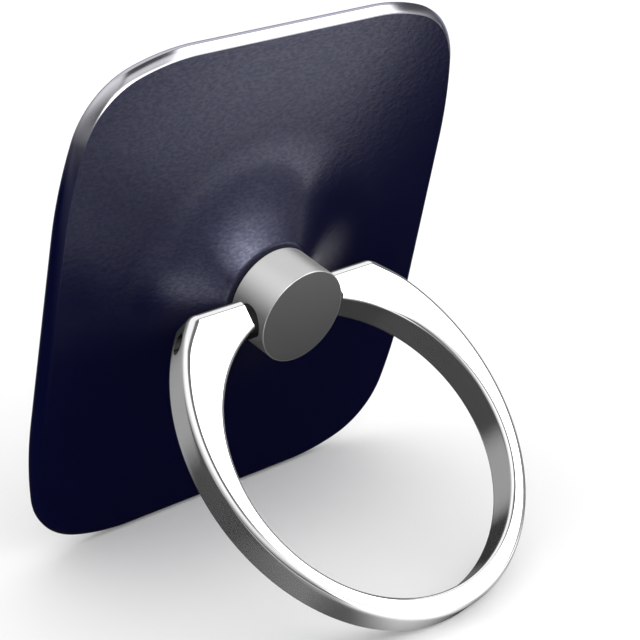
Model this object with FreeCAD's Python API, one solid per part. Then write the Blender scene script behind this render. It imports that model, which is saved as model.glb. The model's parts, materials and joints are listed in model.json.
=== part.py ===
import FreeCAD
import Part
import math
import os

# Phone ring holder: a thin rounded plate that sticks to the back of a phone, a round hub that swivels
# in the boss at its centre, and a finger ring that folds on two pins in the sides of the hub.
# Each piece is drawn in the holder's own frame: X along the fold axis, Y up the plate, Z out of its
# front face, with Z = 0 at the flat of that face. The last step stands the holder on a table on
# the lower edge of its plate and the far end of its ring. All sizes are in millimetres.

# Plate: straight in the middle of each side, then an arc that leads into the corner arc
plate_width = 36.0
plate_height = 40.0
end_straight_share = 0.445
end_arc_share = 0.45
end_arc_turn = 18.0
corner_share = 0.176
side_arc_turn = 12.0
plate_thickness = 1.0
front_edge_radius = 0.55
back_edge_radius = 0.25

# Boss in the middle of the plate
boss_height = 2.05
boss_top_radius = 3.95
boss_foot_radius = 12.0
boss_rim_radius = 0.15
boss_roof = 0.9
boss_chamber_radius = 4.1
boss_chamber_mouth = 6.6

# Steel backing sheet in the back of the plate, and the sticky pad over both
backing_thickness = 0.4
backing_margin = 2.6
backing_clearance = 0.1
pad_thickness = 0.6
pad_margin = 1.3

# Hub and its bearing
hub_radius = 3.71
hub_length = 3.53
hub_edge_radius = 0.12
stem_radius = 2.15
bush_wall = 0.35
bush_flange_radius = 3.45
bush_flange_thickness = 0.24
running_clearance = 0.05
seat_clearance = 0.02

# Retaining stack behind the boss
spring_space = 0.5
spring_thickness = 0.14
spring_radius = 3.6
spring_hole_radius = 2.3
spring_waves = 3
washer_radius = 3.8
washer_thickness = 0.45
screw_radius = 1.0
screw_engagement = 2.1
screw_head_radius = 1.75
screw_head_height = 0.55
screw_cross_width = 0.42
screw_cross_length = 2.0
screw_cross_depth = 0.3
screw_hole_spare = 0.3

# Fold hinge: its height above the hub's base and its drop below the hub's centre line
hinge_height = 1.69
hinge_drop = 0.43
pin_radius = 0.6
pin_reach = 1.6
pin_recess = 1.2
pin_slot_width = 0.3
pin_slot_depth = 0.35
ear_gap = 0.49
spotface_radius = 1.4
spotface_depth = 0.42
spacer_radius = 1.25
spacer_clearance = 0.05

# Ring, drawn flat with Y = 0 on the fold axis and its loop towards -Y
ring_half_width = 13.4
ring_half_height = 14.84
ring_centre_drop = 10.04
ring_side_wall = 1.8
ring_end_wall = 1.63
opening_top_drop = 0.25
ring_thickness = 2.8
ear_top = 1.4
ear_corner_radius = 1.1
outer_edge_radius = 0.5
inner_edge_radius = 0.33

# Pose: angle between the ring and the plate, zero with the loop folded down flat
fold_angle = 59.1

# Heights that follow, all measured from the flat of the front face
back_face = -plate_thickness
panel_back = back_face + backing_thickness
boss_roof_underside = boss_height - boss_roof
flange_top = boss_height + bush_flange_thickness
hub_base = flange_top + running_clearance
hub_end = hub_base + hub_length
stem_end = boss_roof_underside - spring_space
washer_back = stem_end - washer_thickness
screw_head_back = washer_back - screw_head_height
fold_axis = hub_base + hinge_height

# Lengths of the plate's outline that follow
end_straight = plate_width * end_straight_share
end_arc_radius = plate_width * end_arc_share
corner_radius = plate_width * corner_share

# Size and place of the ring's opening that follow
ring_end_drop = ring_centre_drop + ring_half_height
opening_half_width = ring_half_width - ring_side_wall
opening_half_height = (ring_end_drop - ring_end_wall - opening_top_drop) / 2
opening_centre_drop = opening_top_drop + opening_half_height

# Radii and distances across the hub that follow
bush_bore = stem_radius + running_clearance
bush_radius = bush_bore + bush_wall
boss_bore = bush_radius + seat_clearance
ear_inner = hub_radius + ear_gap
ear_bore = pin_radius + running_clearance
spotface_floor = hub_radius - spotface_depth
pin_hole_radius = pin_radius + seat_clearance
screw_hole_radius = screw_radius + seat_clearance

SIDES = {"left": -1.0, "right": 1.0}
WAVE_POINTS = 8
OVERCUT = 1.0
SAME = 0.001

X_AXIS = FreeCAD.Vector(1, 0, 0)
Z_AXIS = FreeCAD.Vector(0, 0, 1)
HINGE = FreeCAD.Vector(0, -hinge_drop, fold_axis)


def point(x, y, z=0.0):
    return FreeCAD.Vector(x, y, z)


def plate_outline(margin, z):
    """Outline of the plate moved in by a margin: lines and arcs that share their tangents all the way round.

    The arc beside each long side takes the radius that closes the quarter."""
    end_turn = math.radians(end_arc_turn)
    side_turn = math.radians(side_arc_turn)
    end_centre = point(end_straight / 2, plate_height / 2 - end_arc_radius, z)
    to_corner = point(math.sin(end_turn), math.cos(end_turn))
    corner_centre = end_centre + to_corner * (end_arc_radius - corner_radius)
    side_room = plate_width / 2 - corner_centre.x - corner_radius
    side_arc_radius = corner_radius + side_room / (1 - math.cos(side_turn))
    to_side = point(math.cos(side_turn), math.sin(side_turn))
    side_centre = corner_centre - to_side * (side_arc_radius - corner_radius)
    quarter = [
        Part.makeCircle(side_arc_radius - margin, side_centre, Z_AXIS, 0, side_arc_turn),
        Part.makeCircle(corner_radius - margin, corner_centre, Z_AXIS, side_arc_turn, 90 - end_arc_turn),
        Part.makeCircle(end_arc_radius - margin, end_centre, Z_AXIS, 90 - end_arc_turn, 90),
    ]
    half = quarter + [arc.mirror(point(0, 0), point(1, 0)) for arc in quarter]
    edges = half + [arc.mirror(point(0, 0), point(0, 1)) for arc in half]
    across, up = plate_width / 2 - margin, plate_height / 2 - margin
    for side in SIDES.values():
        lower = point(side * across, -side_centre.y, z)
        upper = point(side * across, side_centre.y, z)
        edges.append(Part.makeLine(lower, upper))
        edges.append(Part.makeLine(point(-end_centre.x, side * up, z), point(end_centre.x, side * up, z)))
    return Part.Wire(Part.__sortEdges__(edges))


def plate_slab(margin, z_low, z_high):
    """Slab whose outline lies a margin inside the plate's outline."""
    return Part.Face(plate_outline(margin, z_low)).extrude(Z_AXIS * (z_high - z_low))


def turned(profile):
    """Solid of revolution about Z from (radius, height) corners, in order round the section."""
    corners = [point(radius, 0, height) for radius, height in profile]
    section = Part.Face(Part.makePolygon(corners + corners[:1]))
    return section.revolve(point(0, 0), Z_AXIS, 360)


def rod(radius, start, length, axis):
    return Part.makeCylinder(radius, length, start, axis)


def edges_at_height(shape, z):
    """Edges of a shape that lie wholly in one level plane."""
    level = []
    for edge in shape.Edges:
        box = edge.BoundBox
        if abs(box.ZMin - z) < SAME and abs(box.ZMax - z) < SAME:
            level.append(edge)
    return level


# Plate and what is fixed to it

def make_boss():
    """Bell round the hub: its side is one arc, tangent to the flat of the plate at the foot."""
    run = boss_foot_radius - boss_top_radius
    arc_radius = (run ** 2 + boss_height ** 2) / (2 * boss_height)
    half_turn = math.asin(run / arc_radius) / 2
    foot = point(boss_foot_radius, 0, 0)
    middle = foot + point(-math.sin(half_turn), 0, 1 - math.cos(half_turn)) * arc_radius
    top = point(boss_top_radius, 0, boss_height)
    below = [point(0, 0, panel_back), point(boss_foot_radius, 0, panel_back)]
    side = Part.Arc(foot, middle, top).toShape()
    straight = Part.makePolygon([top, point(0, 0, boss_height)] + below + [foot])
    section = Part.Face(Part.Wire([side] + straight.Edges))
    boss = section.revolve(point(0, 0), Z_AXIS, 360)
    return boss.makeFillet(boss_rim_radius, edges_at_height(boss, boss_height))


def make_base_plate():
    plate = plate_slab(0.0, back_face, 0.0)
    plate = plate.makeFillet(front_edge_radius, edges_at_height(plate, 0.0))
    plate = plate.makeFillet(back_edge_radius, edges_at_height(plate, back_face))
    plate = plate.fuse(make_boss())
    recess_margin = backing_margin - backing_clearance
    plate = plate.cut(plate_slab(recess_margin, back_face - OVERCUT, panel_back))
    chamber = turned([
        (0, panel_back - OVERCUT),
        (boss_chamber_mouth, panel_back - OVERCUT),
        (boss_chamber_mouth, panel_back),
        (boss_chamber_radius, boss_roof_underside),
        (0, boss_roof_underside),
    ])
    plate = plate.cut(chamber)
    plate = plate.cut(rod(boss_bore, point(0, 0, 0), boss_height + OVERCUT, Z_AXIS))
    return plate.removeSplitter()


def make_backing_plate():
    return plate_slab(backing_margin, back_face, panel_back)


def make_adhesive_pad():
    return plate_slab(pad_margin, back_face - pad_thickness, back_face)


def make_swivel_bush():
    """Flanged bearing pressed into the boss, its flange under the hub."""
    return turned([
        (bush_bore, boss_roof_underside),
        (bush_radius, boss_roof_underside),
        (bush_radius, boss_height),
        (bush_flange_radius, boss_height),
        (bush_flange_radius, flange_top),
        (bush_bore, flange_top),
    ])


# Hub and what turns with it

def make_swivel_hub():
    """Turned head and stem, spot-faced and bored across for the fold pins, tapped for the screw."""
    head = rod(hub_radius, point(0, 0, hub_base), hub_length, Z_AXIS)
    head = head.makeFillet(hub_edge_radius, edges_at_height(head, hub_end) + edges_at_height(head, hub_base))
    hub = head.fuse(rod(stem_radius, point(0, 0, stem_end), hub_base - stem_end + hub_length / 4, Z_AXIS))
    screw_hole_depth = screw_engagement + screw_hole_spare
    hub = hub.cut(rod(screw_hole_radius, point(0, 0, stem_end), screw_hole_depth, Z_AXIS))
    for side in SIDES.values():
        outward = X_AXIS * side
        spotface = rod(spotface_radius, HINGE + outward * spotface_floor, spotface_depth + OVERCUT, outward)
        pin_hole = rod(pin_hole_radius, HINGE + outward * pin_reach, hub_radius, outward)
        hub = hub.cut(spotface).cut(pin_hole)
    return hub.removeSplitter()


def make_wave_washer():
    """Spring washer: a ring ruled between two wavy circles and thickened along the axis."""
    middle = (boss_roof_underside + stem_end - spring_thickness) / 2
    amplitude = (spring_space - spring_thickness) / 2 - running_clearance
    rims = []
    for radius in (spring_radius, spring_hole_radius):
        points = []
        for k in range(spring_waves * WAVE_POINTS):
            angle = 2 * math.pi * k / (spring_waves * WAVE_POINTS)
            height = middle + amplitude * math.cos(spring_waves * angle)
            points.append(point(radius * math.cos(angle), radius * math.sin(angle), height))
        curve = Part.BSplineCurve()
        curve.interpolate(Points=points, PeriodicFlag=True)
        rims.append(curve.toShape())
    face = Part.makeRuledSurface(rims[0], rims[1])
    return face.extrude(Z_AXIS * spring_thickness)


def make_retaining_washer():
    return turned([
        (screw_hole_radius, washer_back),
        (washer_radius, washer_back),
        (washer_radius, stem_end),
        (screw_hole_radius, stem_end),
    ])


def make_retaining_screw():
    """Low-headed screw with a cross recess, driven up into the hub's stem."""
    head = rod(screw_head_radius, point(0, 0, screw_head_back), screw_head_height, Z_AXIS)
    head = head.makeFillet(screw_head_height / 2, edges_at_height(head, screw_head_back))
    length = washer_thickness + screw_engagement
    screw = head.fuse(rod(screw_radius, point(0, 0, washer_back), length, Z_AXIS))
    for along, across in ((screw_cross_length, screw_cross_width), (screw_cross_width, screw_cross_length)):
        corner = point(-along / 2, -across / 2, screw_head_back)
        screw = screw.cut(Part.makeBox(along, across, screw_cross_depth, corner))
    return screw


def outer_wall_at(height):
    """Half width of the ring's outer wall at a height above or below the fold axis."""
    rise = (height + ring_centre_drop) / ring_half_height
    return ring_half_width * math.sqrt(1 - rise ** 2)


def make_hinge_pin(side):
    """Headless slotted pin: held in the hub, a running fit in the ear, sunk below the ear's wall."""
    outward = X_AXIS * side
    pin_end = outer_wall_at(0.0) - pin_recess
    pin_start = pin_reach + seat_clearance
    pin = rod(pin_radius, HINGE + outward * pin_start, pin_end - pin_start, outward)
    slot = Part.makeBox(pin_slot_depth, 4 * pin_radius, pin_slot_width)
    slot_start = pin_end - pin_slot_depth if side > 0 else -pin_end
    slot.translate(point(slot_start, -hinge_drop - 2 * pin_radius, fold_axis - pin_slot_width / 2))
    return pin.cut(slot)


def make_ear_spacer(side):
    """Friction washer round the pin, from the floor of the hub's spot face to the ear."""
    outward = X_AXIS * side
    thickness = ear_inner - spacer_clearance - spotface_floor
    spacer = rod(spacer_radius, HINGE + outward * spotface_floor, thickness, outward)
    return spacer.cut(rod(pin_hole_radius, HINGE + outward * spotface_floor, thickness, outward))


# Finger ring

def ellipse_face(half_width, half_height, drop):
    """Flat face inside an ellipse centred below the fold axis."""
    centre = point(0, -drop)
    ends = [(half_width, point(half_width, -drop)), (half_height, point(0, half_height - drop))]
    ends.sort(key=lambda end: -end[0])
    if abs(half_width - half_height) < SAME:
        return Part.Face(Part.Wire([Part.makeCircle(half_width, centre)]))
    return Part.Face(Part.Wire([Part.Ellipse(ends[0][1], ends[1][1], centre).toShape()]))


def make_ring_flat():
    """Ring drawn flat: an ellipse cut off by the flat ear tops, less the opening and the gap for the hub."""
    blank = ellipse_face(ring_half_width, ring_half_height, ring_centre_drop).extrude(Z_AXIS * ring_thickness)
    span = 2 * ring_half_width + 2 * OVERCUT
    above = Part.makeBox(span, ring_half_height, ring_thickness, point(-span / 2, ear_top, 0))
    blank = blank.cut(above)
    corners = []
    for edge in blank.Edges:
        box = edge.BoundBox
        if box.ZLength > ring_thickness / 2 and abs(box.YMin - ear_top) < SAME:
            corners.append(edge)
    blank = blank.makeFillet(ear_corner_radius, corners)
    outer_rims = edges_at_height(blank, 0.0) + edges_at_height(blank, ring_thickness)
    blank = blank.makeFillet(outer_edge_radius, outer_rims)
    opening = ellipse_face(opening_half_width, opening_half_height, opening_centre_drop)
    hole = opening.extrude(Z_AXIS * (ring_thickness + 2 * OVERCUT))
    hole.translate(point(0, 0, -OVERCUT))
    ring = blank.cut(hole)
    rims = []
    for edge in edges_at_height(ring, 0.0) + edges_at_height(ring, ring_thickness):
        middle = edge.valueAt((edge.FirstParameter + edge.LastParameter) / 2)
        across = middle.x / opening_half_width
        along = (middle.y + opening_centre_drop) / opening_half_height
        if abs(math.hypot(across, along) - 1) < SAME:
            rims.append(edge)
    ring = ring.makeFillet(inner_edge_radius, rims)
    gap = Part.makeBox(2 * ear_inner, 2 * opening_centre_drop, ring_thickness + 2 * OVERCUT,
                       point(-ear_inner, -opening_centre_drop, -OVERCUT))
    ring = ring.cut(gap)
    ring.translate(point(0, 0, -ring_thickness / 2))
    for side in SIDES.values():
        bore = rod(ear_bore, X_AXIS * side * (ear_inner - OVERCUT), ring_half_width, X_AXIS * side)
        ring = ring.cut(bore)
    return ring


def make_finger_ring():
    """Ring carried to the hub's pins and opened to the fold angle."""
    ring = make_ring_flat()
    ring.rotate(point(0, 0), X_AXIS, -fold_angle)
    ring.translate(HINGE)
    return ring


# Standing pose

def standing_tilt():
    """Lean of the plate, in degrees, that puts its lower front edge and the ring's far end on one level.

    Both touch the table on a rounded edge, a circle in the middle plane, so the table is the line
    that is tangent to the two circles from below."""
    plate_y = -plate_height / 2 + front_edge_radius
    plate_z = -front_edge_radius
    turn = math.radians(fold_angle)
    loop = outer_edge_radius - ring_end_drop
    rim = ring_thickness / 2 - outer_edge_radius
    best = None
    for offset in (rim, -rim):
        ring_y = loop * math.cos(turn) + offset * math.sin(turn) - hinge_drop
        ring_z = fold_axis - loop * math.sin(turn) + offset * math.cos(turn)
        step_y = ring_y - plate_y
        step_z = ring_z - plate_z
        distance = math.hypot(step_y, step_z)
        lean = math.acos((outer_edge_radius - front_edge_radius) / distance) - math.atan2(step_z, step_y)
        best = lean if best is None else min(best, lean)
    return math.degrees(best)


def stand_up(shapes):
    """Turn every piece to the standing pose, then put the middle of the footprint at the origin."""
    for shape in shapes.values():
        shape.rotate(point(0, 0), X_AXIS, 90 + standing_tilt())
    whole = Part.makeCompound(list(shapes.values())).optimalBoundingBox(False, False)
    shift = point(0, -(whole.YMin + whole.YMax) / 2, -whole.ZMin)
    for shape in shapes.values():
        shape.translate(shift)
    return shift


def main():
    shapes = {
        "base_plate": make_base_plate(),
        "backing_plate": make_backing_plate(),
        "adhesive_pad": make_adhesive_pad(),
        "swivel_bush": make_swivel_bush(),
        "swivel_hub": make_swivel_hub(),
        "wave_washer": make_wave_washer(),
        "retaining_washer": make_retaining_washer(),
        "retaining_screw": make_retaining_screw(),
        "finger_ring": make_finger_ring(),
    }
    for name, side in SIDES.items():
        shapes["hinge_pin_" + name] = make_hinge_pin(side)
        shapes["ear_spacer_" + name] = make_ear_spacer(side)
    shift = stand_up(shapes)
    os.makedirs("parts", exist_ok=True)
    for name, shape in shapes.items():
        shape.exportStep("parts/" + name + ".step")
        print(name, "solids", len(shape.Solids), "volume", round(shape.Volume, 2), "valid", shape.isValid())
    print("tilt", round(standing_tilt(), 3), "shift", round(shift.y, 4), round(shift.z, 4))


main()
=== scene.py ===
import json
import math

import bpy
import numpy as np
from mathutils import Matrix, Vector


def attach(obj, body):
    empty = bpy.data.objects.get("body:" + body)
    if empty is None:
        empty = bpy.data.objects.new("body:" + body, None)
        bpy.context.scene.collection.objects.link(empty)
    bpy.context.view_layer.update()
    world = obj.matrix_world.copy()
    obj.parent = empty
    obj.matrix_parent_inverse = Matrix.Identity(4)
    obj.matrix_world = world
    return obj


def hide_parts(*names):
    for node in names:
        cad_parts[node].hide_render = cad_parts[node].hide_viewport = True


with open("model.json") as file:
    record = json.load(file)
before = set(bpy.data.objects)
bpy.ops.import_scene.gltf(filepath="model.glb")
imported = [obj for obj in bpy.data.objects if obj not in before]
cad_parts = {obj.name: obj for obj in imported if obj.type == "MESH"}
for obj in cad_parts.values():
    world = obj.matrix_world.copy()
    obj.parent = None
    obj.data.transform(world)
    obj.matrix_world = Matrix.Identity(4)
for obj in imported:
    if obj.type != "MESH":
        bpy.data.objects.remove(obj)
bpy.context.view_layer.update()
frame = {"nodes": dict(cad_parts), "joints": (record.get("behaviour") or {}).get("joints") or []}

MM = 0.001
WHITE = (1, 1, 1, 1)

# The holder's own frame, read from its swivel joint: X along the fold axis, Y up the plate, Z out of
# its front. Lengths below are in millimetres in that frame unless a name says otherwise.
hinge_height, hinge_drop = 4.03, 0.43
fold_angle = math.radians(59.1)
joints = {joint["name"]: joint for joint in frame["joints"]}
plate_normal = np.array(joints["hub_swivel"]["axis"], dtype=float)
swivel_place = np.array(joints["hub_swivel"]["pos_m"], dtype=float)
plate_right = np.array([1.0, 0.0, 0.0])
plate_up = np.cross(plate_normal, plate_right)
plate_centre = swivel_place - plate_normal * hinge_height * MM


def from_plate(points):
    """Plate frame in mm to the shared frame in metres: centre + x right + y up + z normal."""
    basis = np.stack([plate_right, plate_up, plate_normal])
    return plate_centre + np.asarray(points) * MM @ basis


def from_ring(points):
    """Flat ring drawing to the plate frame, in mm.

    With f the fold angle, Y turns to (0, cos f, -sin f) and Z to (0, sin f, cos f). The result is moved
    from the plate's centre to the hinge."""
    points = np.asarray(points)
    across, along, out = points[..., 0], points[..., 1], points[..., 2]
    up = along * math.cos(fold_angle) + out * math.sin(fold_angle) - hinge_drop
    away = -along * math.sin(fold_angle) + out * math.cos(fold_angle) + hinge_height
    return np.stack([across, up, away], axis=-1)


# Meshes

def mesh_piece(name, points, quads, others=()):
    """One smooth-shaded mesh from corners in metres, four-sided faces and a few many-sided ones."""
    mesh = bpy.data.meshes.new(name)
    faces = [list(map(int, quad)) for quad in quads] + [list(map(int, face)) for face in others]
    mesh.from_pydata(points.reshape(-1, 3).tolist(), [], faces)
    mesh.validate()
    mesh.polygons.foreach_set("use_smooth", [True] * len(mesh.polygons))
    piece = bpy.data.objects.new(name, mesh)
    bpy.context.scene.collection.objects.link(piece)
    return piece


def grid_quads(rows, columns, close_rows=False, close_columns=False):
    """Quads of a rows x columns grid of corners, joined round where asked."""
    row = np.arange(rows if close_rows else rows - 1)
    column = np.arange(columns if close_columns else columns - 1)
    r, c = np.meshgrid(row, column, indexing="ij")
    r2, c2 = (r + 1) % rows, (c + 1) % columns
    corners = [r * columns + c, r * columns + c2, r2 * columns + c2, r2 * columns + c]
    return np.stack(corners, axis=-1).reshape(-1, 4)


def crisp(piece, degrees):
    """Shades the piece smooth except across edges that turn by more than the angle."""
    piece.data.set_sharp_from_angle(angle=math.radians(degrees))


def mark(piece, name, values, domain="POINT"):
    """Stores one number for each corner, or for each face, that a material reads by its name."""
    layer = piece.data.attributes.new(name, "FLOAT", domain)
    layer.data.foreach_set("value", np.asarray(values, dtype=np.float32))


def smooth(value, start, end):
    """0 up to the start, 1 from the end on, t^2 (3 - 2 t) between them."""
    t = np.clip((value - start) / (end - start), 0, 1)
    return t ** 2 * (3 - 2 * t)


def cut_out(piece, cutter, name):
    """Subtracts the cutter from the piece and bakes the result into its mesh."""
    step = piece.modifiers.new(name, "BOOLEAN")
    step.operation = "DIFFERENCE"
    step.solver = "EXACT"
    step.object = cutter
    bpy.context.view_layer.update()
    evaluated = piece.evaluated_get(bpy.context.evaluated_depsgraph_get())
    baked = bpy.data.meshes.new_from_object(evaluated)
    piece.modifiers.clear()
    piece.data = baked
    bpy.data.objects.remove(cutter, do_unlink=True)


def full_turn(steps):
    """Angles round a circle, its end left out."""
    return np.linspace(0, 2 * math.pi, steps, endpoint=False)


def quarter_turn(steps):
    """Angles from 0 to 90 degrees, both of them included."""
    return np.linspace(0, math.pi / 2, steps)


def rod_mesh(name, start, end, radius, to_world, sides=64):
    """Closed cylinder along X from start to end, in mm, that to_world puts in its place."""
    turn = full_turn(sides)
    circle = np.stack([0 * turn, radius * np.cos(turn), radius * np.sin(turn)], axis=-1)
    points = np.stack([circle + [start, 0, 0], circle + [end, 0, 0]])
    first = list(range(sides))
    last = list(range(sides, 2 * sides))[::-1]
    quads = grid_quads(2, sides, close_columns=True)
    if end > start:
        first, last = first[::-1], last[::-1]
    else:
        quads = quads[:, ::-1]
    return mesh_piece(name, to_world(points), quads, [first, last])


def by_length(points, normals, count):
    """Evenly spaced places and normals along a finely drawn curve, by arc length."""
    step = np.linalg.norm(np.diff(points, axis=0), axis=1)
    length = np.concatenate([[0], np.cumsum(step)])
    at = np.linspace(0, length[-1], count)
    place = np.stack([np.interp(at, length, points[:, k]) for k in range(2)], axis=-1)
    normal = np.stack([np.interp(at, length, normals[:, k]) for k in range(2)], axis=-1)
    return place, normal / np.linalg.norm(normal, axis=1, keepdims=True)


# Plate

half_width, half_height = 18.0, 20.0
end_straight, end_arc, end_turn = 8.01, 16.2, math.radians(18)
corner_arc, side_turn = 6.336, math.radians(12)
plate_thickness = 1.0
front_rounding, back_rounding, rim_power = 0.55, 0.25, 1.55
boss_height, boss_top, boss_foot, boss_bore, boss_roof = 2.05, 3.95, 12.0, 2.6, 0.9
recess_inset, recess_depth, chamber_mouth, chamber_end = 2.5, 0.4, 6.6, 4.1
# Where the upper edge gets its painted highlight, a light grey metal in place of the navy lacquer, by
# how far the outline's normal points up
sheen_begins, sheen_full = 0.1, 0.7
# A thin strip beside each rounding that keeps its shading off the flat next to it
seam = 0.02


def outline(count):
    """Points and outward unit normals round the plate, a quarter drawn and mirrored.

    A quarter is three arcs, centre + radius (cos t, sin t), that share their tangents, between half a
    straight side and half a straight end."""
    end_centre = np.array([end_straight, half_height - end_arc])
    towards_end = np.array([math.sin(end_turn), math.cos(end_turn)])
    corner_centre = end_centre + (end_arc - corner_arc) * towards_end
    side_arc = corner_arc + (half_width - corner_centre[0] - corner_arc) / (1 - math.cos(side_turn))
    towards_side = np.array([math.cos(side_turn), math.sin(side_turn)])
    side_centre = corner_centre - (side_arc - corner_arc) * towards_side
    end_begins = math.pi / 2 - end_turn
    turns = [(side_centre, side_arc, 0, side_turn), (corner_centre, corner_arc, side_turn, end_begins),
             (end_centre, end_arc, end_begins, math.pi / 2)]
    samples = 400
    up = np.linspace(0, side_centre[1], samples, endpoint=False)[:, None]
    places, normals = [up * [0, 1] + [half_width, 0]], [np.tile([1.0, 0.0], (len(up), 1))]
    for centre, radius, first, last in turns:
        turn = np.linspace(first, last, samples, endpoint=False)
        normals.append(np.stack([np.cos(turn), np.sin(turn)], axis=-1))
        places.append(centre + radius * normals[-1])
    across = np.linspace(end_straight, 0, samples)[:, None]
    places.append(across * [1, 0] + [0, half_height])
    normals.append(np.tile([0.0, 1.0], (len(across), 1)))
    place, normal = by_length(np.concatenate(places), np.concatenate(normals), count // 4 + 1)
    flip = np.array([-1.0, 1.0])
    place = np.concatenate([place[:-1], place[:0:-1] * flip])
    normal = np.concatenate([normal[:-1], normal[:0:-1] * flip])
    return np.concatenate([place, -place]), np.concatenate([normal, -normal])


def boss_rise(radius):
    """Height of the boss above the plate at a distance from its axis.

    Its side is one arc of radius R = (run^2 + height^2) / 2 height that is level at the foot, so it
    rises by R - sqrt(R^2 - d^2) at a distance d in from the foot. The soft minimum
    -k log(e^(-a/k) + e^(-b/k)) rounds it into the flat top, and is left out where it no longer shows."""
    run = boss_foot - boss_top
    arc = (run ** 2 + boss_height ** 2) / (2 * boss_height)
    inward = np.clip(boss_foot - radius, 0, None)
    side = arc - np.sqrt(arc ** 2 - inward ** 2)
    softness, soft_reach = 0.03, 1.0
    soft = boss_height - softness * np.log(np.exp(-(side - boss_height) / softness) + 1)
    return np.where(radius > boss_top + soft_reach, side, soft)


def plate_surface():
    """Closed surface of rings round the Z axis, from the boss top out over the edge to the hollow back.

    A ring is either a circle of its radius or the outline moved in by its inset; between the boss's
    foot and the rounded edge the two are blended. The front edge is a softened bevel: inset
    r (1 - sin^q a) and drop r (1 - cos^q a), a from 0 to 90 degrees. The back edge is the same with
    q = 1, a quarter circle."""
    edge, normal = outline(count=640)
    circle = edge / np.linalg.norm(edge, axis=1, keepdims=True)
    rings = []

    def add(flat, height):
        rings.append(np.concatenate([flat, np.full((len(edge), 1), height)], axis=-1))

    # Close together where the boss's top turns into its side
    crest, slope = np.linspace(3.6, 4.3, num=12), np.linspace(4.5, boss_foot, num=44)
    for radius in [boss_bore, 3.2, *crest, *slope]:
        add(circle * radius, float(boss_rise(np.array(radius))))
    inner = edge - normal * (front_rounding + seam)
    for share in np.linspace(0, 1, num=24)[1:]:
        add(circle * boss_foot * (1 - share) + inner * share, 0.0)
    front_rings = len(rings)
    for a in quarter_turn(steps=17):
        inset, drop = 1 - math.sin(a) ** rim_power, 1 - math.cos(a) ** rim_power
        add(edge - normal * front_rounding * inset, -front_rounding * drop)
    for a in quarter_turn(steps=7):
        inset, rise = 1 - math.cos(a), 1 - math.sin(a)
        add(edge - normal * back_rounding * inset, back_rounding * rise - plate_thickness)
    recess = edge - normal * recess_inset
    recess_floor = recess_depth - plate_thickness
    add(recess + normal * seam, -plate_thickness)
    add(recess, -plate_thickness)
    add(recess, recess_floor - seam)
    add(recess, recess_floor)
    add(circle * chamber_mouth, recess_floor)
    add(circle * chamber_end, boss_height - boss_roof)
    add(circle * boss_bore, boss_height - boss_roof)
    points = from_plate(np.stack(rings))
    piece = mesh_piece("plate_skin", points, grid_quads(len(rings), len(edge), True, True)[:, ::-1])
    on_front = np.repeat(np.arange(len(rings)) < front_rings, len(edge)).astype(float)
    # Upward-facing edge, which the lacquer gives a painted highlight
    facing_up = np.tile(smooth(normal[:, 1], sheen_begins, sheen_full), len(rings))
    mark(piece, "front", on_front)
    mark(piece, "rim", (1 - on_front) * facing_up)
    crisp(piece, degrees=40)
    return piece


# Hub

hub_radius, hub_base, hub_end, hub_edge = 3.71, 2.34, 5.87, 0.07
# Flat seats for the ear spacers, sunk in the hub's side
seat_floor, seat_end, seat_radius = 3.29, 5.0, 1.4


def hub_surface():
    """Turned head: rings of (radius, height) up the side, round the rim and in across the end face.

    Its two edges are quarter circles of radius r, through r (1 - sin a) one way and r (1 - cos a) the
    other. The last rings, on the end face, are marked so that the material darkens them as painted
    shade."""
    turn, corner = full_turn(steps=192), quarter_turn(steps=7)
    across, along = hub_edge * (1 - np.sin(corner)), hub_edge * (1 - np.cos(corner))
    low = [(hub_radius - a, hub_base + b) for a, b in zip(across, along)]
    high = [(hub_radius - b, hub_end - a) for a, b in zip(across, along)]
    levels = np.linspace(hub_base + 2 * hub_edge, hub_end - 2 * hub_edge, num=30)
    side = [(hub_radius, height) for height in levels]
    face = [(radius, hub_end) for radius in (hub_radius - hub_edge - seam / 2, 3.0, 2.0, 1.0)]
    rings = np.array(low + side + high + face)
    circle = np.stack([np.cos(turn), np.sin(turn), 0 * turn], axis=-1)
    points = rings[:, None, :1] * circle + rings[:, None, 1:] * np.array([0, 0, 1.0])
    start = list(range(len(turn)))[::-1]
    end = list(range((len(rings) - 1) * len(turn), len(rings) * len(turn)))
    quads = grid_quads(len(rings), len(turn), close_columns=True)
    piece = mesh_piece("hub_head", from_plate(points), quads, [start, end])
    # The end face, which the material darkens as painted shade
    mark(piece, "face", np.repeat(np.arange(len(rings)) >= len(rings) - len(face), len(turn)))
    for name, sign in (("left", -1), ("right", 1)):
        seat = rod_mesh("seat", sign * seat_floor, sign * seat_end, seat_radius,
                        lambda p: from_plate(p + [0, -hinge_drop, hinge_height]))
        cut_out(piece, seat, "seat_" + name)
    crisp(piece, degrees=30)
    return piece


# Ring, in its flat drawing: Y = 0 on the fold axis, loop towards -Y

ring_depth = 2.8
ear_inner, ear_top, ear_corner = 4.2, 1.4, 1.1
outer_half_width, outer_half_height, outer_drop = 13.4, 14.84, 10.04
inner_half_width, inner_half_height, inner_drop = 11.6, 11.5, 11.75
# Radii of the long edges; the front one outside grows to ear_edge from ear_begins to ear_full,
# as shares of the way from the ring's lowest point to its ears
outer_edge, ear_edge, inner_edge = 0.5, 0.76, 0.33
ear_begins, ear_full = 0.80, 0.88
pin_hole_radius = 0.65
# Points on each ellipse before they are spaced evenly by length
ellipse_samples = 6000


def ellipse(turn, half_width, half_height, drop):
    """Lowest point at turn 0: (a sin t, -drop - b cos t), with its outward unit normal."""
    place = np.stack([half_width * np.sin(turn), -drop - half_height * np.cos(turn)], axis=-1)
    normal = np.stack([np.sin(turn) / half_width, -np.cos(turn) / half_height], axis=-1)
    return place, normal / np.linalg.norm(normal, axis=1, keepdims=True)


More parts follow.
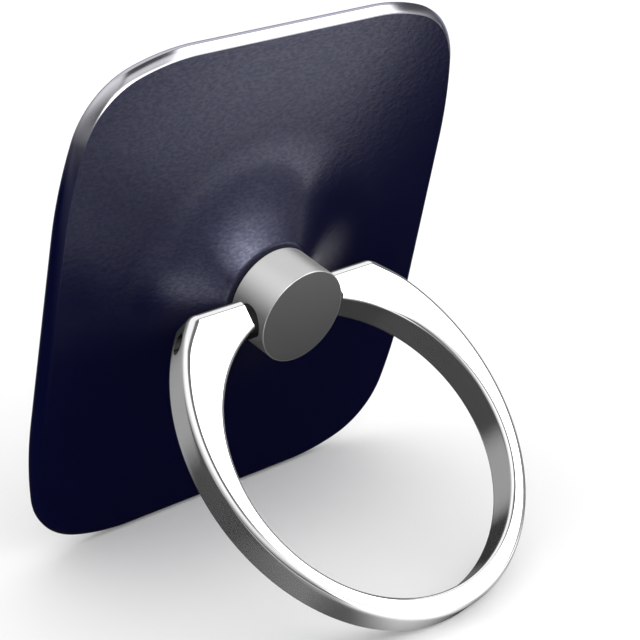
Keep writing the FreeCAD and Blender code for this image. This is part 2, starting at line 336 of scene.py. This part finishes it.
def outer_half(count):
    """Right half of the outside, bottom to ear: ellipse, corner arc tangent to both, flat top."""
    turn = np.linspace(0, math.pi * 0.95, ellipse_samples)
    place, normal = ellipse(turn, outer_half_width, outer_half_height, outer_drop)
    inset = place - normal * ear_corner
    meets = int(np.argmax(inset[:, 1] > ear_top - ear_corner))
    centre = inset[meets]
    start = math.atan2(normal[meets, 1], normal[meets, 0])
    arc = np.linspace(start, math.pi / 2, num=200)
    arc_normal = np.stack([np.cos(arc), np.sin(arc)], axis=-1)
    top = np.linspace(centre[0], ear_inner, num=400)[1:]
    places = np.concatenate([place[:meets], centre + ear_corner * arc_normal,
                             np.stack([top, np.full_like(top, ear_top)], axis=-1)])
    normals = np.concatenate([normal[:meets], arc_normal, np.tile([0.0, 1.0], (len(top), 1))])
    return by_length(places, normals, count)


def inner_half(count):
    """Right half of the opening, bottom to ear. The normal points into the opening, out of the metal."""
    last = math.pi - math.asin(ear_inner / inner_half_width)
    turn = np.linspace(0, last, ellipse_samples)
    place, normal = ellipse(turn, inner_half_width, inner_half_height, inner_drop)
    return by_length(place, -normal, count)


def whole(half):
    """Left ear to right ear: the half curve mirrored, then itself."""
    place, normal = half
    flip = np.array([-1.0, 1.0])
    return np.concatenate([place[:0:-1] * flip, place]), np.concatenate([normal[:0:-1] * flip, normal])


def ring_surface():
    """Closed surface from sections along the ring, left ear to right ear, with the pin holes cut out.

    In each section a rounded edge of radius r goes through inset r (1 - sin a) from its wall and
    r (1 - cos a) from its face. The holes' own faces are marked so that the chrome darkens them to near
    black as painted shade."""
    stations = 420
    outside, inside = whole(outer_half(stations)), whole(inner_half(stations))
    # 0 at the ring's lowest point, 1 at its ears
    share = np.abs(np.linspace(-1, 1, 2 * stations - 1))
    front_edge = outer_edge + (ear_edge - outer_edge) * smooth(share, ear_begins, ear_full)
    top, corner = ring_depth / 2, quarter_turn(steps=11)
    columns = []

    def add(wall, inset, height):
        """One line along the ring at an inset into the metal and a height, single or one per station."""
        place, normal = wall
        flat = place - normal * (inset + 0 * share)[:, None]
        columns.append(np.concatenate([flat, (height + 0 * share)[:, None]], axis=-1))

    def edge(wall, radius, side, turns):
        """A rounded edge on the front (side 1) or the back (side -1)."""
        for a in turns:
            add(wall, radius * (1 - math.sin(a)), side * (top - radius * (1 - math.cos(a))))

    # Where the walls are straight, above and below the middle
    outer_flat, inner_flat = top - ear_edge - 2 * seam, top - inner_edge - seam
    edge(inside, inner_edge, 1, corner[::-1])
    add(inside, inner_edge + seam, top)
    add(outside, front_edge + seam, top)
    edge(outside, front_edge, 1, corner)
    for height in (outer_flat, 0.0, -outer_flat):
        add(outside, 0.0, height)
    edge(outside, outer_edge, -1, corner[::-1])
    add(outside, outer_edge + seam, -top)
    add(inside, inner_edge + seam, -top)
    edge(inside, inner_edge, -1, corner)
    for height in (-inner_flat, 0.0, inner_flat):
        add(inside, 0.0, height)
    points = np.stack(columns, axis=1)
    rows, around = points.shape[:2]
    first = list(range(around))
    last = list(range((rows - 1) * around, rows * around))[::-1]
    quads = grid_quads(rows, around, close_columns=True)[:, ::-1]
    piece = mesh_piece("ring_loop", from_plate(from_ring(points)), quads, [first, last])
    reach = 15.0
    bore = rod_mesh("bore", -reach, reach, pin_hole_radius, lambda p: from_plate(from_ring(p)))
    cut_out(piece, bore, "pin_holes")
    faces = np.array([face.center[:] for face in piece.data.polygons])
    hinge = from_plate([0, -hinge_drop, hinge_height])
    seen_along_axis = (faces - hinge) @ np.stack([plate_up, plate_normal], axis=-1)
    from_axis = np.linalg.norm(seen_along_axis, axis=1)
    # The pin holes' walls, which the chrome darkens to near black as painted shade
    mark(piece, "bore", from_axis < (pin_hole_radius + seam / 2) * MM, "FACE")
    crisp(piece, degrees=30)
    return piece


plate = plate_surface()
hub = hub_surface()
ring = ring_surface()
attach(plate, "plate")
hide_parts("base_plate")
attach(hub, "hub")
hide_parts("swivel_hub")
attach(ring, "ring")
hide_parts("finger_ring")
# The metal and the lacquer mirror the studio, not each other
for piece in [plate, hub, ring] + list(frame["nodes"].values()):
    piece.visible_glossy = False


# Nodes

class Sheet:
    """A node tree with short calls for its nodes.

    A value may be a number, a tuple or another node's socket."""

    def __init__(self, tree):
        self.tree = tree

    def link(self, source, target):
        self.tree.links.new(source, target)

    def node(self, kind, inputs=(), **settings):
        made = self.tree.nodes.new(kind)
        for name, value in settings.items():
            setattr(made, name, value)
        for key, value in dict(inputs).items():
            if isinstance(value, bpy.types.NodeSocket):
                self.link(value, made.inputs[key])
            else:
                made.inputs[key].default_value = value
        return made

    def maths(self, operation, first, second=0.0):
        return self.node("ShaderNodeMath", {0: first, 1: second}, operation=operation).outputs[0]

    def vector(self, operation, first, second):
        """Vector maths. SCALE takes a number as its second value, DOT_PRODUCT and DISTANCE give one."""
        key = "Scale" if operation == "SCALE" else 1
        made = self.node("ShaderNodeVectorMath", {0: first, key: second}, operation=operation)
        return made.outputs["Value" if operation in ("DOT_PRODUCT", "DISTANCE") else "Vector"]

    def product(self, first, *others):
        for other in others:
            first = self.maths("MULTIPLY", first, other)
        return first

    def ramp(self, value, start, end, low=0.0, high=1.0, kind="SMOOTHSTEP"):
        """Value from start to end turned into low to high, and held beyond both."""
        inputs = {"Value": value, "From Min": start, "From Max": end, "To Min": low, "To Max": high}
        return self.node("ShaderNodeMapRange", inputs, interpolation_type=kind, clamp=True).outputs[0]

    def degrees(self, value, start, end, low, high):
        """Ramp over an angle given in degrees."""
        return self.ramp(value, math.radians(start), math.radians(end), low, high)

    def noise(self, place, scale, detail):
        return self.node("ShaderNodeTexNoise", {"Vector": place, "Scale": scale, "Detail": detail})

    def place(self):
        """Place on the piece in its own space, in metres."""
        return self.node("ShaderNodeTexCoord").outputs["Object"]

    def stored(self, name):
        """The number that mark() stored under a name."""
        return self.node("ShaderNodeAttribute", attribute_name=name).outputs["Fac"]


def node_group(name, inputs, outputs):
    """An empty node group with float sockets: a sheet, its inputs and its output node."""
    tree = bpy.data.node_groups.new(name, "ShaderNodeTree")
    for socket, value in inputs.items():
        made = tree.interface.new_socket(socket, in_out="INPUT", socket_type="NodeSocketFloat")
        made.default_value = value
    for socket in outputs:
        tree.interface.new_socket(socket, in_out="OUTPUT", socket_type="NodeSocketFloat")
    sheet = Sheet(tree)
    return sheet, sheet.node("NodeGroupInput").outputs, sheet.node("NodeGroupOutput")


def uneven_group():
    """Mean + spread x (soft noise - 1/2), the noise in cells per metre of the object's own space."""
    inputs = {"Mean": 0.3, "Spread": 0.1, "Scale": 400.0, "Detail": 4.0}
    sheet, given, result = node_group("uneven", inputs, ["Value"])
    noise = sheet.noise(sheet.place(), given["Scale"], given["Detail"]).outputs[0]
    swing = sheet.maths("MULTIPLY", sheet.maths("SUBTRACT", noise, 0.5), given["Spread"])
    sheet.link(sheet.maths("ADD", given["Mean"], swing), result.inputs["Value"])
    return sheet.tree


def grain_group():
    """Leather: height is 1 - distance to the middle of the cell + 0.6 x fine noise, pores are 0 to 1.

    The cells are drawn out sideways and their places wander by a soft noise. The pores are specks of
    an even finer one."""
    sheet, given, result = node_group("grain", {"Scale": 3000.0}, ["Height", "Pores"])
    place = sheet.vector("MULTIPLY", sheet.place(), (0.62, 1.0, 1.0))
    wander = sheet.noise(place, scale=1500.0, detail=2.0).outputs["Color"]
    warped = sheet.vector("ADD", place, sheet.vector("SCALE", wander, 0.2 * MM))
    cells = sheet.node("ShaderNodeTexVoronoi", {"Vector": warped, "Scale": given["Scale"]},
                       feature="SMOOTH_F1")
    mound = sheet.maths("SUBTRACT", 1.0, cells.outputs["Distance"])
    fine = sheet.maths("MULTIPLY", sheet.noise(place, scale=5200.0, detail=3.0).outputs[0], 0.6)
    sheet.link(sheet.maths("ADD", mound, fine), result.inputs["Height"])
    flat = sheet.vector("MULTIPLY", place, (0.7, 1.0, 1.0))
    speck = sheet.noise(flat, scale=6600.0, detail=1.0).outputs[0]
    sheet.link(sheet.ramp(speck, 0.3, 0.72), result.inputs["Pores"])
    return sheet.tree


uneven = uneven_group()
grain = grain_group()


# Materials

def new_material(name, base, metallic, roughness, spread=0.06, scale=300.0, tone=0.04, **sockets):
    """Principled surface whose roughness and tone wander a little over the piece.

    Roughness + spread x (noise - 1/2), and base colour x (1 + tone x (coarser noise - 1/2))."""
    material = bpy.data.materials.new(name)
    material.use_nodes = True
    shader = material.node_tree.nodes["Principled BSDF"]
    shader.inputs["Metallic"].default_value = metallic
    for socket, value in sockets.items():
        shader.inputs[socket.replace("_", " ")].default_value = value
    sheet = Sheet(material.node_tree)
    gloss = {"Mean": roughness, "Spread": spread, "Scale": scale}
    shade = {"Mean": 1.0, "Spread": tone, "Scale": scale * 0.6}
    rough = sheet.node("ShaderNodeGroup", gloss, node_tree=uneven).outputs[0]
    share = sheet.node("ShaderNodeGroup", shade, node_tree=uneven).outputs[0]
    sheet.link(rough, shader.inputs["Roughness"])
    sheet.link(sheet.vector("SCALE", base, share), shader.inputs["Base Color"])
    return material, shader, sheet


def paint_shade(sheet, shader, stored, share):
    """Painted shade: base colour x share where the stored number is 1, unchanged where it is 0."""
    colour = shader.inputs["Base Color"].links[0].from_socket
    amount = sheet.ramp(sheet.stored(stored), 0.0, 1.0, 1.0, share)
    sheet.link(sheet.vector("SCALE", colour, amount), shader.inputs["Base Color"])


def put(piece, material):
    """Gives the piece this one material."""
    piece.data.materials.clear()
    piece.data.materials.append(material)


navy, shader, sheet = new_material("navy lacquer", (0.0006, 0.0009, 0.0165), metallic=0.0,
                                   roughness=0.2, spread=0.04, scale=500.0,
                                   Specular_Tint=(0.66, 0.68, 1.0, 1.0), Coat_IOR=3.0,
                                   Coat_Roughness=0.1)
front, rim = sheet.stored("front"), sheet.stored("rim")
leather = sheet.node("ShaderNodeGroup", node_tree=grain).outputs
# The front is a little less glossy than edge and back, and only the front has the grain
mean = shader.inputs["Roughness"].links[0].from_node.inputs["Mean"]
sheet.link(sheet.ramp(front, 0.0, 1.0, 0.14, 0.2), mean)
height = sheet.maths("MULTIPLY", leather["Height"], front)
bump = sheet.node("ShaderNodeBump", {"Height": height, "Strength": 0.3, "Distance": 0.02 * MM})
sheet.link(bump.outputs[0], shader.inputs["Normal"])
coat = sheet.ramp(leather["Pores"], 0.0, 1.0, 0.015, 0.085, "LINEAR")
sheet.link(sheet.maths("MULTIPLY", front, coat), shader.inputs["Coat Weight"])
# Painted highlight: the upward-facing edge is a light grey metal instead of navy lacquer, so it shines
# brighter than the other edges
lacquer = shader.inputs["Base Color"].links[0].from_socket
painted_sheen = sheet.vector("SCALE", (0.5, 0.5, 0.52), rim)
sheet.link(sheet.vector("ADD", lacquer, painted_sheen), shader.inputs["Base Color"])
sheet.link(rim, shader.inputs["Metallic"])
put(plate, navy)

satin, shader, sheet = new_material("satin chrome", (0.6, 0.6, 0.6), metallic=0.88, roughness=0.38,
                                    spread=0.05, scale=900.0)
# Painted shade: the hub's end face is a darker copy of the satin chrome
paint_shade(sheet, shader, "face", 0.28)
put(hub, satin)

chrome, shader, sheet = new_material("bright chrome", (0.87, 0.87, 0.875), metallic=0.96, roughness=0.1,
                                     spread=0.02, scale=250.0)
# Painted shade: the walls of the pin holes are nearly black
paint_shade(sheet, shader, "bore", 0.012)
put(ring, chrome)

black = new_material("black nylon", (0.004, 0.004, 0.005), metallic=0.0, roughness=0.5,
                     Specular_IOR_Level=0.1)[0]
steel = new_material("zinc-plated steel", (0.3, 0.3, 0.31), metallic=1.0, roughness=0.3, spread=0.1,
                     scale=700.0, tone=0.15)[0]
# Painted shade: the hinge pins, seen only at the bottom of the pin holes, are near-black so that the
# holes look dark
pin_shade = new_material("darkened steel", (0.012, 0.012, 0.014), metallic=0.4, roughness=0.5)[0]
gel = new_material("sticky gel", (0.02, 0.02, 0.021), metallic=0.0, roughness=0.5)[0]
OTHER_PIECES = {"backing_plate": steel, "adhesive_pad": gel, "swivel_bush": black, "wave_washer": steel,
                "retaining_washer": steel, "retaining_screw": steel, "hinge_pin_left": pin_shade,
                "hinge_pin_right": pin_shade, "ear_spacer_left": black, "ear_spacer_right": black}
for node, material in OTHER_PIECES.items():
    put(frame["nodes"][node], material)


# Floor, light and camera

def floor_plane(name, reach):
    """Square sheet on the floor that reaches this many metres to each side."""
    mesh = bpy.data.meshes.new(name)
    corners = [(-reach, -reach, 0), (reach, -reach, 0), (reach, reach, 0), (-reach, reach, 0)]
    mesh.from_pydata(corners, [], [(0, 1, 2, 3)])
    plane = bpy.data.objects.new(name, mesh)
    bpy.context.scene.collection.objects.link(plane)
    return plane


floor = floor_plane("floor", reach=2)
floor.visible_glossy = False
pale = new_material("pale floor", (0.85, 0.85, 0.85), metallic=0.0, roughness=0.6, spread=0.1,
                    scale=40.0, tone=0.01)[0]
put(floor, pale)


def towards(azimuth, elevation):
    """Unit direction: azimuth from -Y towards +X and height above the floor, in degrees."""
    turn, lift = math.radians(azimuth), math.radians(elevation)
    return (math.sin(turn) * math.cos(lift), -math.cos(turn) * math.cos(lift), math.sin(lift))


def card(sheet, direction, azimuth, elevation, half_angle, soft, level):
    """Round soft-edged panel in the studio, angles in degrees.

    The full level inside the half angle, nothing beyond half angle + soft."""
    facing = sheet.vector("DOT_PRODUCT", direction, towards(azimuth, elevation))
    none_at, full_at = math.cos(math.radians(half_angle + soft)), math.cos(math.radians(half_angle))
    return sheet.ramp(facing, none_at, full_at, 0.0, level)


# The studio that metal and lacquer mirror. Its panels are drawn in the direction looked in: right, back
# and height are that direction's parts, turn is its angle from straight ahead towards the right, and
# lift its angle from straight ahead over the top.
world = bpy.data.worlds.new("studio")
bpy.context.scene.world = world
world.use_nodes = True
world.node_tree.nodes.clear()
sheet = Sheet(world.node_tree)
direction = sheet.node("ShaderNodeTexCoord").outputs["Generated"]
right, back, height = sheet.node("ShaderNodeSeparateXYZ", {0: direction}).outputs
forward = sheet.maths("MULTIPLY", back, -1.0)
turn = sheet.maths("ARCTAN2", right, forward)
lift = sheet.maths("ARCTAN2", height, forward)

# Long strip light from the front over the top to the back, always the same way to the right
strip = sheet.product(sheet.ramp(right, 0.43, 0.50), sheet.ramp(right, 0.75, 0.82, 1.0, 0.0),
                      sheet.degrees(lift, 8, 22, 0.0, 3.2), sheet.degrees(lift, 76, 90, 1.0, 0.0))
# Bright ceiling and wall on the left
left = sheet.product(sheet.ramp(right, -0.20, 0.0, 1.0, 0.0),
                     sheet.ramp(height, -0.05, 0.95, 0.02, 1.15))
# Soft fill between the two, half way up
fill = sheet.product(sheet.ramp(right, -0.15, 0.0), sheet.ramp(right, 0.43, 0.50, 1.0, 0.0),
                     sheet.ramp(height, 0.2, 0.5), sheet.ramp(height, 0.64, 0.78, 1.0, 0.0),
                     sheet.degrees(lift, 78, 94, 1.0, 0.0))
# Ceiling behind
ceiling = sheet.product(sheet.ramp(right, -0.9, -0.2, 0.4, 1.0), sheet.ramp(right, 0.75, 0.82, 1.0, 0.0),
                        sheet.degrees(lift, 88, 102, 0.0, 0.93),
                        sheet.degrees(lift, 138, 156, 1.0, 0.0))
# Low window in front: full up to 12 degrees to the right, then falling by e every 19 degrees
past_full = sheet.maths("MAXIMUM", sheet.maths("SUBTRACT", turn, math.radians(12)), 0.0)
fall = sheet.maths("EXPONENT", sheet.maths("MULTIPLY", past_full, -1 / math.radians(19)))
window = sheet.product(sheet.degrees(turn, -16, 0, 0.0, 6.2), fall,
                       sheet.ramp(height, -0.42, -0.02), sheet.ramp(height, 0.1, 0.4, 1.0, 0.0))
room_side = sheet.maths("MAXIMUM", sheet.maths("MAXIMUM", left, fill), ceiling)
level = sheet.maths("ADD", strip, sheet.maths("ADD", room_side, window))
# A little light everywhere, less below the horizon
level = sheet.maths("ADD", level, sheet.ramp(height, -0.1, 0.1, 0.02, 0.12))
# Small panels: azimuth, elevation, half angle, soft edge (degrees) and level
CARDS = [(112, -2, 8, 9, 0.4), (-166, -9, 10, 16, 0.3)]
for panel in CARDS:
    level = sheet.maths("ADD", level, card(sheet, direction, *panel))
ray = sheet.node("ShaderNodeLightPath").outputs
mirrored = sheet.node("ShaderNodeBackground", {"Color": WHITE, "Strength": level}).outputs[0]
# Soft daylight for everything else, stronger from the front, and a plain white backdrop
daylight = sheet.ramp(back, -0.7, 0.7, 1.3, 0.75)
room = sheet.node("ShaderNodeBackground", {"Color": WHITE, "Strength": daylight}).outputs[0]
backdrop = sheet.node("ShaderNodeBackground", {"Color": WHITE, "Strength": 1.0}).outputs[0]
seen = sheet.node("ShaderNodeMixShader", {0: ray["Is Glossy Ray"], 1: room, 2: mirrored}).outputs[0]
seen = sheet.node("ShaderNodeMixShader", {0: ray["Is Camera Ray"], 1: seen, 2: backdrop}).outputs[0]
sheet.node("ShaderNodeOutputWorld", {0: seen})


def patch(sheet, place, x, y, core, soft, level):
    """Round soft-edged patch on the floor: level inside the core, nothing beyond core + soft."""
    away = sheet.vector("DISTANCE", place, (x * MM, y * MM, 0))
    return sheet.ramp(away, core * MM, (core + soft) * MM, level, 0.0)


# The unevenly lit floor as metal and lacquer mirror it: a clear sheet that only they see
glow = floor_plane("floor_glow", reach=1)
glow.visible_camera = glow.visible_diffuse = glow.visible_shadow = glow.visible_transmission = False
glow_paint = bpy.data.materials.new("lit floor in the lacquer")
glow_paint.use_nodes = True
glow_paint.node_tree.nodes.clear()
sheet = Sheet(glow_paint.node_tree)
place = sheet.place()
x, y = sheet.node("ShaderNodeSeparateXYZ", {0: place}).outputs[:2]
# In front of the part, brighter further out, with both ends cut off at a slant
slant = sheet.maths("ADD", x, sheet.maths("MULTIPLY", y, 1.58))
near = sheet.product(sheet.ramp(y, -0.009, -0.036, 0.12, 2.3, "LINEAR"), sheet.ramp(y, -0.003, -0.009),
                     sheet.ramp(y, -0.040, -0.036), sheet.ramp(slant, -0.038, -0.008, 0.3, 1.0),
                     sheet.ramp(slant, 0.006, 0.015, 1.0, 0.0))
# Further out, weaker, and fading to the far right
far = sheet.product(sheet.ramp(y, -0.036, -0.040, 0.0, 0.75), sheet.ramp(y, -0.055, -0.095, 1.0, 0.0),
                    sheet.ramp(x, 0.045, 0.075, 1.0, 0.4), sheet.ramp(x, -0.020, -0.008),
                    sheet.ramp(x, 0.002, 0.014, 0.55, 1.0))
lit = sheet.maths("ADD", near, far)
# Patches of light and, below 0, of shade: x, y, core, soft edge (mm) and level
PATCHES = [(-5, -20, 2, 8, 1.2), (-6, -32, 4, 9, 0.4), (46, 17, 1, 5, 1.5), (1, -13, 1, 5, -0.25),
           (45, 8, 4, 10, 0.38), (-14, -8, 4, 8, 0.06), (14, -19, 2, 5, -0.3), (0, -17, 1, 4, 0.4),
           (-9, -12, 1, 4, -0.15), (2, -12, 1, 4, -0.1)]
for spot in PATCHES:
    lit = sheet.maths("MAXIMUM", sheet.maths("ADD", lit, patch(sheet, place, *spot)), 0.0)
shine = sheet.node("ShaderNodeEmission", {"Color": WHITE, "Strength": lit}).outputs[0]
clear = sheet.node("ShaderNodeBsdfTransparent", {"Color": WHITE}).outputs[0]
both = sheet.node("ShaderNodeAddShader", {0: shine, 1: clear}).outputs[0]
sheet.node("ShaderNodeOutputMaterial", {0: both})
put(glow, glow_paint)


def softbox(name, place, target, width, height, watts):
    """Area light aimed at a target. Metal and lacquer don't mirror it, they see the studio's panels."""
    data = bpy.data.lights.new(name, "AREA")
    data.shape = "RECTANGLE"
    data.size, data.size_y = width, height
    data.energy = watts
    lamp = bpy.data.objects.new(name, data)
    bpy.context.scene.collection.objects.link(lamp)
    lamp.location = place
    lamp.rotation_euler = (Vector(target) - Vector(place)).to_track_quat("-Z", "Y").to_euler()
    lamp.visible_glossy = False


softbox("overhead", place=(0.1, 0.02, 0.5), target=(0, 0, 0), width=0.9, height=0.8, watts=1.45)

# The camera of the photo
camera_data = bpy.data.cameras.new("camera")
camera_data.lens = 113.37
camera_data.sensor_width = 36.0
camera_data.clip_start = 0.005
camera = bpy.data.objects.new("camera", camera_data)
camera.location = (-0.0891947, -0.0956618, 0.0730127)
camera.rotation_euler = [math.radians(a) for a in (67.4183, -0.7225, -42.4453)]
bpy.context.scene.collection.objects.link(camera)
bpy.context.scene.camera = camera
bpy.context.scene.view_settings.view_transform = "Standard"
